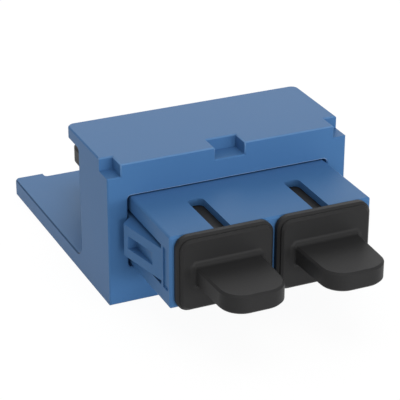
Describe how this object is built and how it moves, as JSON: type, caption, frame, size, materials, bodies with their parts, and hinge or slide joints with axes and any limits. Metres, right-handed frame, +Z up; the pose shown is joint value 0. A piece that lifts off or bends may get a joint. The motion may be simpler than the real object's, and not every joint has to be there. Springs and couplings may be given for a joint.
{
  "type": "snap-in fibre adapter module",
  "caption": "Panel module with a push-pull fibre adapter: a flush bezel with a one-piece release lever holds the adapter, and pull-out dust caps close its ports.",
  "frame": {"origin": "in the bezel's flat front face, midway between the axes of the ports, at the middle of the bezel's opening", "axes": "+X across the ports, +Y from the front dust caps through the bezel to the end of the release lever, +Z up, from the lever to the top lip"},
  "size_m": [0.0318, 0.0582, 0.0192],
  "materials": {
    "bezel_plastic": "satin blue moulded plastic",
    "adapter_plastic": "satin blue moulded plastic",
    "holder_plastic": "natural moulded plastic",
    "sleeve_ceramic": "polished white ceramic",
    "cap_plastic": "satin black moulded plastic"
  },
  "bodies": {
    "module": {"module_bezel": "bezel_plastic", "adapter_front_shell": "adapter_plastic", "adapter_rear_shell": "adapter_plastic", "alignment_sleeve_left": "sleeve_ceramic", "alignment_sleeve_right": "sleeve_ceramic", "sleeve_holder_front_left": "holder_plastic", "sleeve_holder_front_right": "holder_plastic", "sleeve_holder_rear_left": "holder_plastic", "sleeve_holder_rear_right": "holder_plastic"},
    "cap_front_left": {"dust_cap_front_left": "cap_plastic"},
    "cap_front_right": {"dust_cap_front_right": "cap_plastic"},
    "cap_rear_left": {"dust_cap_rear_left": "cap_plastic"},
    "cap_rear_right": {"dust_cap_rear_right": "cap_plastic"}
  },
  "joints": [
    {"name": "cap_front_left_pull", "type": "slide", "parent": "module", "child": "cap_front_left", "axis": [0, -1, 0], "range_m": [0, 0.02]},
    {"name": "cap_front_right_pull", "type": "slide", "parent": "module", "child": "cap_front_right", "axis": [0, -1, 0], "range_m": [0, 0.02]},
    {"name": "cap_rear_left_pull", "type": "slide", "parent": "module", "child": "cap_rear_left", "axis": [0, 1, 0], "range_m": [0, 0.02]},
    {"name": "cap_rear_right_pull", "type": "slide", "parent": "module", "child": "cap_rear_right", "axis": [0, 1, 0], "range_m": [0, 0.02]}
  ]
}
